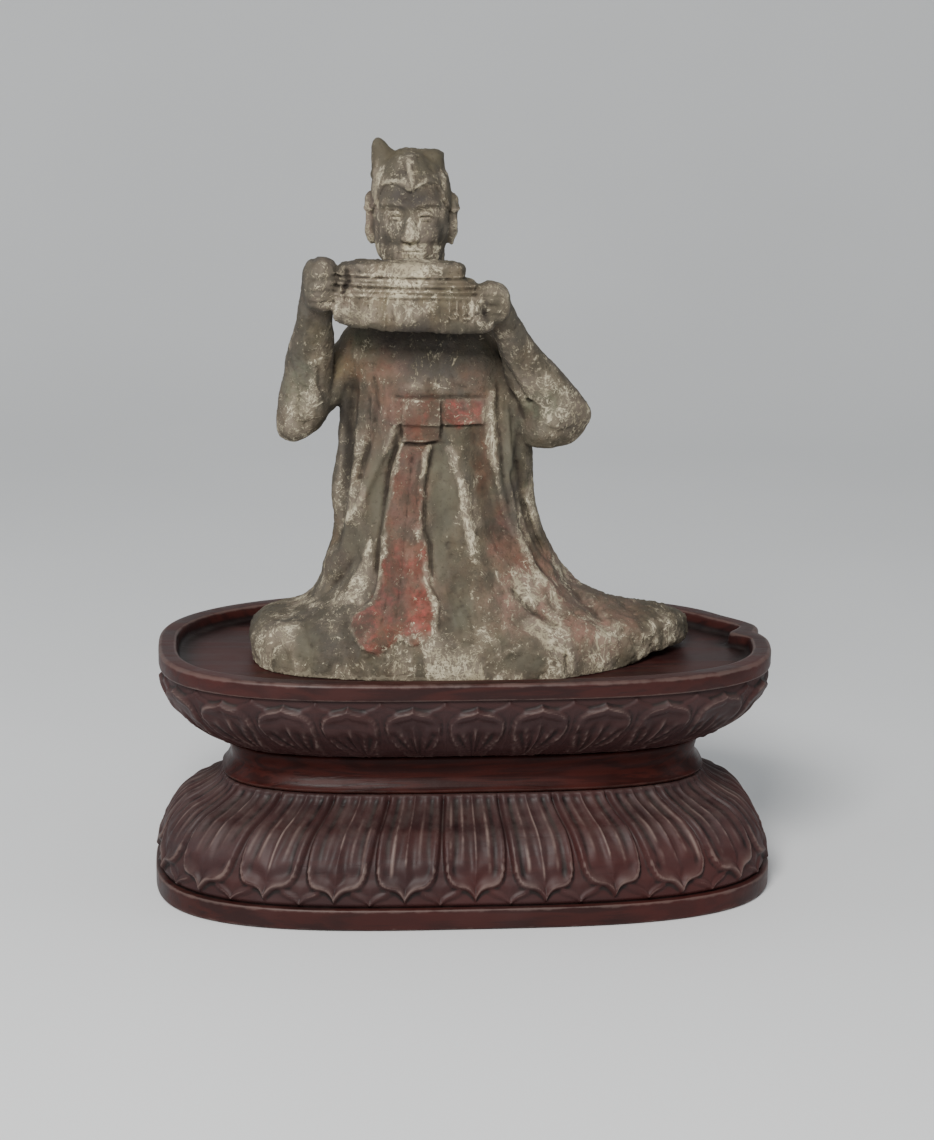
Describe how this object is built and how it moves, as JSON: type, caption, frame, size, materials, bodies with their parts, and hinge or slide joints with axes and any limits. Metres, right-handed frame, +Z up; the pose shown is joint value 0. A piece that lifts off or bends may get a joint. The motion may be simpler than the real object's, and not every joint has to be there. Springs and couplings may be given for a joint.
{
  "type": "terracotta musician figure on a carved wooden stand",
  "caption": "Kneeling robed musician in worn painted terracotta, panpipes raised to the mouth, resting in the tray of a carved hardwood lotus stand with a plain waist.",
  "frame": {"origin": "middle of the stand's underside, on the ground", "axes": "+Z up, +X along the stand's length towards the viewer's right, -Y the way the figure faces"},
  "size_m": [0.398, 0.217, 0.4759],
  "materials": {
    "carved_wood": "dark reddish stained hardwood, satin, darker in the carving",
    "polished_wood": "dark red stained hardwood, polished",
    "painted_terracotta": "matt grey-brown fired clay with worn cream slip and red and green pigment"
  },
  "bodies": {
    "root": {"stand_base": "carved_wood", "stand_waist": "polished_wood", "stand_tray": "carved_wood", "terracotta_figure": "painted_terracotta"}
  },
  "joints": []
}
